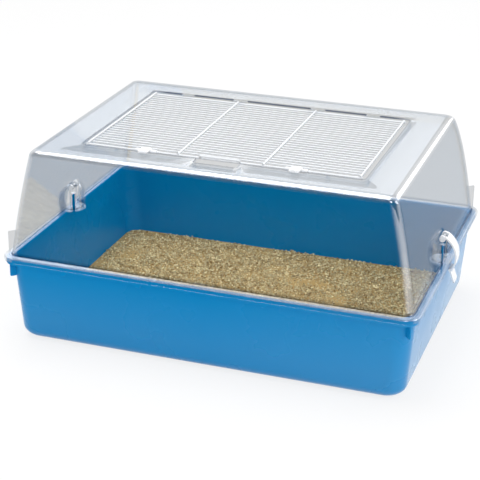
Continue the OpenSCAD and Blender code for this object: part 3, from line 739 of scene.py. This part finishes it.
# Rows of the wall from the foot to the roof's edge: (share of height, height, half width of the niche grid, evenness,
# whether the niche is there). The niche closes at the height where its half width falls to 0.4.
def wallRows(radius, inset):
    p = coverPlan
    rows = list(np.linspace(p["ledgeZ"], p["nicheSpring"], 6))
    top = p["nicheSpring"]
    while nicheHalf(radius, coverHalf((top - p["ledgeZ"]) / p["height"])[0] - inset, top) > 0.4:
        top += p["nicheStep"]
    for a in np.radians(np.linspace(0, 90, 15)[1:]):
        rows.append(p["nicheSpring"] + (top - p["nicheSpring"]) * math.sin(a))
    nicheRows = len(rows)
    last = p["height"] - p["roofFillet"] + p["ledgeZ"]
    rows += list(np.linspace(top, last, 14)[1:])
    out = []
    for k, z in enumerate(rows):
        s = (z - p["ledgeZ"]) / p["height"]
        if k < nicheRows:
            out.append((s, z, nicheHalf(radius, coverHalf(s)[0] - inset, z), 0.0, True))
        else:
            grown = (k - nicheRows + 1) / (len(rows) - nicheRows)
            out.append((s, z, 0.4 + 40 * grown, grown, False))
    return out


# The painted light marks of one ring. Red is bend, a painted pale highlight, and no less than corner * sin(2 a)^2 along
# the four corner arcs. Green is edge, a painted dark line, and no less than half of corner on one line beside each
# corner.
# On the opening, the front and ends have a share of the painted dark line, the back has none where the hinge tabs
# stand, and the sides of the finger bay get a painted glint in red.
def markRow(ring, bend, corner, edge, opening):
    p = coverPlan
    n = p["cornerSteps"] + 1
    side = p["nicheSteps"] + 1 + 2 * p["sideSteps"]
    rear = len(backShare)
    along = np.sin(np.linspace(0, math.pi, n)) ** 2
    line = np.zeros(n)
    line[-2] = 0.5 * corner
    row = np.zeros((len(ring), 4))
    row[:, 0] = bend
    row[:, 1] = edge * (p["openPaintedShade"] if opening else 1)
    row[:, 3] = 1
    starts = (0, n + side, 2 * n + side + rear, 3 * n + 2 * side + rear)
    for k, start in enumerate(starts):
        row[start:start + n, 0] = np.maximum(bend, corner * along)
        if corner:
            row[start:start + n, 1] = np.maximum(edge, line[::-1] if k % 2 else line)
    if opening:
        x = np.abs(backShare * p["backSpan"])
        tabs = np.logical_or(*[(x > low) & (x < high) for low, high in p["tabsX"]])
        row[2 * n + side:2 * n + side + rear, 1] = edge * ~tabs
        x = np.abs(ring[:, 0])
        # Painted glint on the sides of the finger bay.
        low, high = p["bayPaintedGlintX"]
        row[(x > low) & (x < high) & (ring[:, 1] < p["bayPaintedGlintY"]), 0] = p["bayPaintedGlint"]
    return row


# The cover's shell as one closed band: lip, ledge, wall with niches, roof, opening edge, collar and back inside.
def coverShell():
    p = coverPlan
    roofZ = p["ledgeZ"] + p["height"]
    under = p["ledgeZ"] - p["ledge"]
    rings = []
    marks = []

    # Adds a ring with its marks: painted pale highlight all along, painted pale highlight at its corners, and painted
    # dark line.
    def add(ring, bend=0.0, corner=0.0, edge=0.0, opening=False):
        rings.append(ring)
        marks.append(markRow(ring, bend, corner, edge, opening))

    # A ring of the rim, inset by i.
    def rim(i, z):
        return wallRing(p["rimLength"] - i, p["rimWidth"] - i, p["rimWidth"] - i, p["rimCorner"] - i, z)

    roofStart = (p["height"] - p["roofFillet"]) / p["height"]

    # Adds the roof edge's ring at the angle a, on the outside or inside by the wall: share of height = start +
    # (1 - start) sin a, inset = wall + r (1 - cos a).
    def addRoofEdge(a, wall):
        s = roofStart + (1 - roofStart) * math.sin(a)
        i = wall + p["roofFillet"] * (1 - math.cos(a))
        end, front, back = coverHalf(s)
        z = p["ledgeZ"] + s * p["height"] - wall * math.sin(a)
        # The fillet's middle carries a painted pale highlight, strongest at 45 degrees.
        flat = math.sin(2 * a)
        add(wallRing(end - i, front - i, back - i, p["corner"] - min(i, 3), z, 0.0, p["roofHalf"], 1.0), flat, flat)

    lowest = p["ledgeZ"] - p["lipDrop"]
    for i, z in ((0.6, lowest), (0.15, lowest + 0.2), (0.0, lowest + 0.7), (0.0, 116.6)):
        add(rim(i, z))
    # The ledge's top carries a painted pale highlight; the wall's foot a painted pale line and painted dark lines.
    for i, z in ((0.15, 117.3), (0.55, 117.8), (1.2, 118.0)):
        add(rim(i, z), 0.8)
    end, front, back = coverHalf(0)
    for grow, z, bend, edge in ((1.9, 118.0, 0.5, 0), (1.2, 118.0, 0, 0.9), (0.4, 118.35, 0, 1)):
        add(wallRing(end + grow, front + grow, back + grow, p["corner"] + grow, z, p["nicheRadius"]), bend, 0, edge)
    # Each wall ring carries a painted pale highlight at its corners, and the lowest one a painted dark line.
    for s, z, half, even, niche in wallRows(p["nicheRadius"], 0.0):
        end, front, back = coverHalf(s)
        lift = 0.9 if z == p["ledgeZ"] else 0.0
        add(wallRing(end, front, back, p["corner"], z + lift, p["nicheRadius"] if niche else 0.0, half, even),
            0, 1, 0.6 if lift else 0.0)
    for a in np.radians(np.linspace(0, 90, 10)[1:]):
        addRoofEdge(a, 0.0)
    for g, drop, edge in p["openProfile"]:
        add(openingRing(g, roofZ - drop), 0, 0, edge, True)
    for a in np.radians(np.linspace(90, 0, 10)):
        addRoofEdge(a, p["wall"])
    deep = p["nicheRadius"] + p["wall"]
    # The inside wall's rings carry the same painted pale highlight at their corners.
    for s, z, half, even, niche in reversed(wallRows(deep, p["wall"])[:-1]):
        end, front, back = coverHalf(s)
        i = p["wall"]
        low = under + 0.6 if z == p["ledgeZ"] else z
        add(wallRing(end - i, front - i, back - i, p["corner"] - i, low, deep if niche else 0.0, half, even), 0, 1)
    end, front, back = coverHalf(0)
    i = p["wall"] - 0.5
    add(wallRing(end - i, front - i, back - i, p["corner"] - i, under, deep))
    for i, z in ((p["lip"] + 0.5, under), (p["lip"], under - 0.4), (p["lip"], lowest + 0.5), (p["lip"] - 0.4, lowest)):
        add(rim(i, z))
    return *loftSolid(rings, joined=True), np.concatenate(marks)


# A turned solid from pairs of radius and height about a vertical axis.
def turnedSolid(cx, cy, profile, sides=32):
    a = np.linspace(0, 2 * math.pi, sides, endpoint=False)
    return loftSolid([np.column_stack([cx + r * np.cos(a), cy + r * np.sin(a), np.full(sides, z)]) for r, z in profile])


# One hinge eye: a circle round the wire that runs back to the collar, extruded from x0 to x1. Its end rings are drawn
# towards the centre by the inset.
eyePlan = {"y": 106, "z": 259, "radius": 3.4, "back": [(109.5, 260.6), (117.2, 260.6), (117.2, 255.6)],
           "centre": (110.0, 258.5)}


def hingeEye(x0, x1):
    p = eyePlan
    y, z, r = p["y"], p["z"], p["radius"]
    a = np.radians(np.linspace(270, 60, 15))
    outline = np.concatenate([np.column_stack([y + r * np.cos(a), z + r * np.sin(a)]), p["back"]])
    away = outline - p["centre"]
    length = np.linalg.norm(away, axis=1)[:, None]
    rings = []
    for x, inset in ((x0, 0.35), (x0 + 0.12, 0.12), (x0 + 0.4, 0.0), (x1 - 0.4, 0.0), (x1 - 0.12, 0.12), (x1, 0.35)):
        rings.append(np.column_stack([np.full(len(outline), x), p["centre"] + away * (1 - inset / length)]))
    return loftSolid(rings)


# An upright corner rib on the diagonal of the ledge: a thin plate from inside the wall out to its reach. Its points are
# foot + out * u + side * t, and its far and upper edges are inset by e at both faces.
ribOutline = ((-1.0, 117.9), (4.5, 117.9), (4.5, 149.8), (4.2, 150.7), (3.3, 151.0))


def cornerRib(s, x, y, turn, lean):
    a = math.radians(turn)
    out = np.array([math.cos(a), math.sin(a)])
    side = np.array([-out[1], out[0]])
    u, z = np.array([*ribOutline, (-lean, ribOutline[-1][1])]).T
    rings = []
    for t, e in ((-1.0, 0.35), (-0.85, 0.1), (-0.6, 0.0), (0.6, 0.0), (0.85, 0.1), (1.0, 0.35)):
        flat = np.array([x, y]) + out * (u - e * (u > 3))[:, None] + side * t
        rings.append(np.column_stack([s * flat[:, 0], flat[:, 1], z - e * (z > 150)]))
    return loftSolid(rings)


# The cover's parts beside its shell: bay floor, front tab, hinge eyes, wire rests, corner ribs, posts and their eyes.
fittingPlan = {"bayFloor": ((-28.4, -140.9, 249.1), (28.4, -126.6, 251.0), 2.8, 0.4),
               "frontTab": ((-9.5, -195.0, 117.9), (9.5, -190.0, 122.0), 0.8, 0.5, 1),
               "outerEyeX": 134, "outerEyeHalf": 9, "innerEyeX": 56, "innerEyeApart": 5.75, "innerEyeHalf": 3.25,
               "restX": 139, "ribX": 262.78, "ribs": ((-181.78, -45, 6.2), (186.28, 45, 5.5)), "postX": 262.5,
               "post": ((3.7, 137.0), (3.7, 116.2), (5.5, 116.2), (5.5, 146.6), (5.1, 147.6), (4.2, 148.0)),
               "postEyeZ": 148, "postEyeHalf": 4.6, "postEyeRadius": 4.2}


def makeCover():
    p = fittingPlan
    solids = Solids()
    verts, faces, marks = coverShell()
    solids.add(verts, faces)
    solids.add(*slabSolid(*p["bayFloor"]))
    solids.add(*slabSolid(*p["frontTab"]))
    for s in (-1, 1):
        outer = s * p["outerEyeX"]
        solids.add(*hingeEye(outer - p["outerEyeHalf"], outer + p["outerEyeHalf"]))
        for near in (-1, 1):
            mid = s * p["innerEyeX"] + near * p["innerEyeApart"]
            solids.add(*hingeEye(mid - p["innerEyeHalf"], mid + p["innerEyeHalf"]))
        rest = s * p["restX"]
        solids.add(*slabSolid((rest - 1.5, -125.9, 250), (rest + 1.5, -116.6, 257.2), 0.5, 0.3))
        for y, turn, lean in p["ribs"]:
            solids.add(*cornerRib(s, p["ribX"], y, turn, lean))
        post = s * p["postX"]
        solids.add(*turnedSolid(post, 0, p["post"]))
        half, z = p["postEyeHalf"], p["postEyeZ"]
        solids.add(*barSolid([(post, -half, z), (post, half, z)], p["postEyeRadius"], 28, 3, 0.25))
    made = solids.build("cover_shell", clearSkin, 30)
    rows = np.zeros((solids.count, 4))
    rows[:len(marks)] = marks
    made.data.color_attributes.new("marks", "FLOAT_COLOR", "POINT").data.foreach_set("color", rows.ravel())
    return made


cover = makeCover()
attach(cover, "cover_body")
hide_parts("cover")
print("stage: cover")


grillePlan = {"z": 259.0, "front": -119.5, "back": 106.0, "end": 179.0, "cross": 56.0, "crossZ": 261.05,
              "firstWire": 98.2, "pitch": 8.6, "count": 25, "edgeRadius": 1.5, "crossRadius": 1.3, "longRadius": 1.0,
              "over": 1.3}


# The coated wires of the grille, each with rounded ends: two along its edges, four across, and the thin ones at
# firstWire - i * pitch. Each runs past the wire it meets by "over".
def makeGrille():
    p = grillePlan
    solids = Solids()
    reach = p["end"] + 2 * p["over"]
    for y in (p["front"], p["back"]):
        solids.add(*barSolid([(-reach, y, p["z"]), (reach, y, p["z"])], p["edgeRadius"], 20))
    for x in (-p["end"], -p["cross"], p["cross"], p["end"]):
        ends = [(x, p["front"] - p["over"], p["crossZ"]), (x, p["back"] + p["over"], p["crossZ"])]
        solids.add(*barSolid(ends, p["crossRadius"], 18))
    for i in range(p["count"]):
        y = p["firstWire"] - i * p["pitch"]
        out = p["end"] + p["over"]
        solids.add(*barSolid([(-out, y, p["z"]), (out, y, p["z"])], p["longRadius"], 14, 3))
    return solids.build("grille_wires", wireSkin, 60)


grille = makeGrille()
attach(grille, "grille_body")
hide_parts("hinge_wire", "front_wire", "end_wires", "cross_wires", "long_wires")


# The lift bar: one wire bent down at both ends to the front wire, its corners quarter circles of radius r. A point of
# them is centre + r sin a outward - r cos a downward.
liftPlan = {"y": -123.5, "z": 263.0, "bendX": 24.0, "bend": 2.2, "drop": 4.6, "radius": 1.4}


def makeLiftBar():
    p = liftPlan
    y, z, r = p["y"], p["z"], p["bend"]
    down = np.array([0, 4.0, -4.0]) / math.sqrt(32)
    points = []
    for s in (-1, 1):
        centre = np.array([s * p["bendX"], y, z]) + down * r
        turn = []
        for a in np.radians(np.linspace(0, 90, 6)):
            turn.append(centre + np.array([s * r * math.sin(a), 0, 0]) - down * r * math.cos(a))
        turn.append(np.array([s * (p["bendX"] + r), y, z]) + down * p["drop"])
        points += list(reversed(turn)) if s < 0 else turn
    solids = Solids()
    solids.add(*barSolid(points, p["radius"], 16))
    return solids.build("lift_bar_wire", wireSkin, 60)


liftBar = makeLiftBar()
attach(liftBar, "grille_body")
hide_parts("lift_bar")
print("stage: grille")


# The clips keep their CAD meshes, their edges softened by a small bevel.
clipPlan = {"bevel": 0.4, "segments": 2, "angle": 35}
for node in ("roof_clip_left", "roof_clip_right", "side_clip_left", "side_clip_right"):
    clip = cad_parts[node]
    clip.data.materials.clear()
    clip.data.materials.append(clipSkin)
    soften = clip.modifiers.new("soften", "BEVEL")
    soften.width = clipPlan["bevel"] * mm
    soften.segments = clipPlan["segments"]
    soften.limit_method = "ANGLE"
    soften.angle_limit = math.radians(clipPlan["angle"])
print("stage: clips")


lightPlan = {"ambient": 0.6, "front": 0.12, "dimY": -0.35, "whiteY": 0.25, "floorGlow": 0.8, "floorTone": 0.9,
             "floorHalf": 12.0, "behindClear": 0.38, "aim": (0, 0, 0.12)}
lampPlan = {  # place in metres, width, height, radiance
    "overhead": ((-0.45, 0.15, 2.2), 1.8, 1.5, 3.6),
    "front": ((0.9, -2.4, 1.5), 1.2, 1.0, 3.5),
    "back": ((-1.25, 2.68, 1.5), 2.3, 1.0, 1.2),
    "back_right": ((1.5, 2.6, 1.1), 1.4, 0.9, 1.9),
    "right": ((2.4, -0.2, 1.1), 1.2, 1.2, 3.5),
}


# Seen is 1 for camera, glossy and transmission rays and 0 for the rays that light the scene. Strength is 1, less
# behindClear where the ray has passed the clear cover: painted shade behind the cover, which makes the cover look
# greyer than its own material does.
def seenRays(nodes, links):
    rays = nodes.new("ShaderNodeLightPath")
    total = addMath(nodes, links, "ADD", rays.outputs["Is Camera Ray"], rays.outputs["Is Glossy Ray"], True)
    seen = addMath(nodes, links, "ADD", total, rays.outputs["Is Transmission Ray"], True)
    behind = addMath(nodes, links, "GREATER_THAN", rays.outputs["Transparent Depth"], 0.5)
    loss = addMath(nodes, links, "MULTIPLY", behind, -lightPlan["behindClear"])
    return rays, seen, addMath(nodes, links, "ADD", loss, 1.0)


# A wide pale floor that isn't part of the object: seen = glow + (1 - glow) * lit, so its shadows stay but are faint.
def makeFloor():
    mesh = bpy.data.meshes.new("floor")
    r = lightPlan["floorHalf"]
    mesh.from_pydata([(-r, -r, 0), (r, -r, 0), (r, r, 0), (-r, r, 0)], [], [(0, 1, 2, 3)])
    tone = lightPlan["floorTone"]
    made, nodes, links, shader = newMaterial("floor", Base_Color=(tone, tone, tone, 1), Roughness=0.8)
    glow = nodes.new("ShaderNodeEmission")
    _, seen, strength = seenRays(nodes, links)
    links.new(strength, glow.inputs["Strength"])
    share = addMath(nodes, links, "MULTIPLY", seen, lightPlan["floorGlow"])
    mix = nodes.new("ShaderNodeMixShader")
    links.new(share, mix.inputs["Fac"])
    links.new(shader.outputs["BSDF"], mix.inputs[1])
    links.new(glow.outputs["Emission"], mix.inputs[2])
    links.new(mix.outputs["Shader"], nodes["Material Output"].inputs["Surface"])
    mesh.materials.append(made)
    floor = bpy.data.objects.new("floor", mesh)
    scene.collection.objects.link(floor)


# A rectangular soft lamp at a place in metres, aimed at the object: power = radiance * pi * area.
def makeLamp(name, place, width, height, radiance):
    data = bpy.data.lights.new(name, "AREA")
    data.shape = "RECTANGLE"
    data.size = width
    data.size_y = height
    data.energy = radiance * math.pi * width * height
    lamp = bpy.data.objects.new(name, data)
    lamp.location = place
    lamp.rotation_mode = "QUATERNION"
    lamp.rotation_quaternion = (Vector(lightPlan["aim"]) - Vector(place)).to_track_quat("-Z", "Y")
    scene.collection.objects.link(lamp)


# The surround: white to the camera, and even for the light itself. To reflections it is white behind the object and dim
# in front, rising evenly from dimY to whiteY of the direction's Y.
def makeSurround():
    world = bpy.data.worlds.new("surround")
    world.use_nodes = True
    nodes, links = world.node_tree.nodes, world.node_tree.links
    rays, seen, strength = seenRays(nodes, links)
    place = nodes.new("ShaderNodeTexCoord")
    parts = nodes.new("ShaderNodeSeparateXYZ")
    links.new(place.outputs["Generated"], parts.inputs["Vector"])
    ramp = nodes.new("ShaderNodeMapRange")
    ramp.inputs["From Min"].default_value = lightPlan["dimY"]
    ramp.inputs["From Max"].default_value = lightPlan["whiteY"]
    ramp.inputs["To Min"].default_value = lightPlan["front"]
    ramp.inputs["To Max"].default_value = 1.0
    links.new(parts.outputs["Y"], ramp.inputs["Value"])
    backdrop = addMath(nodes, links, "MAXIMUM", ramp.outputs["Result"], rays.outputs["Is Camera Ray"])
    level = nodes.new("ShaderNodeMix")
    level.inputs[2].default_value = lightPlan["ambient"]
    links.new(seen, level.inputs["Factor"])
    links.new(addMath(nodes, links, "MULTIPLY", backdrop, strength), level.inputs[3])
    links.new(level.outputs[0], nodes["Background"].inputs["Strength"])
    nodes["Background"].inputs["Color"].default_value = (1.0, 1.0, 1.0, 1)
    scene.world = world


makeFloor()
makeSurround()
for name, (place, width, height, radiance) in lampPlan.items():
    makeLamp(name, place, width, height, radiance)
scene.cycles.transparent_max_bounces = 32
print("stage: floor and light")
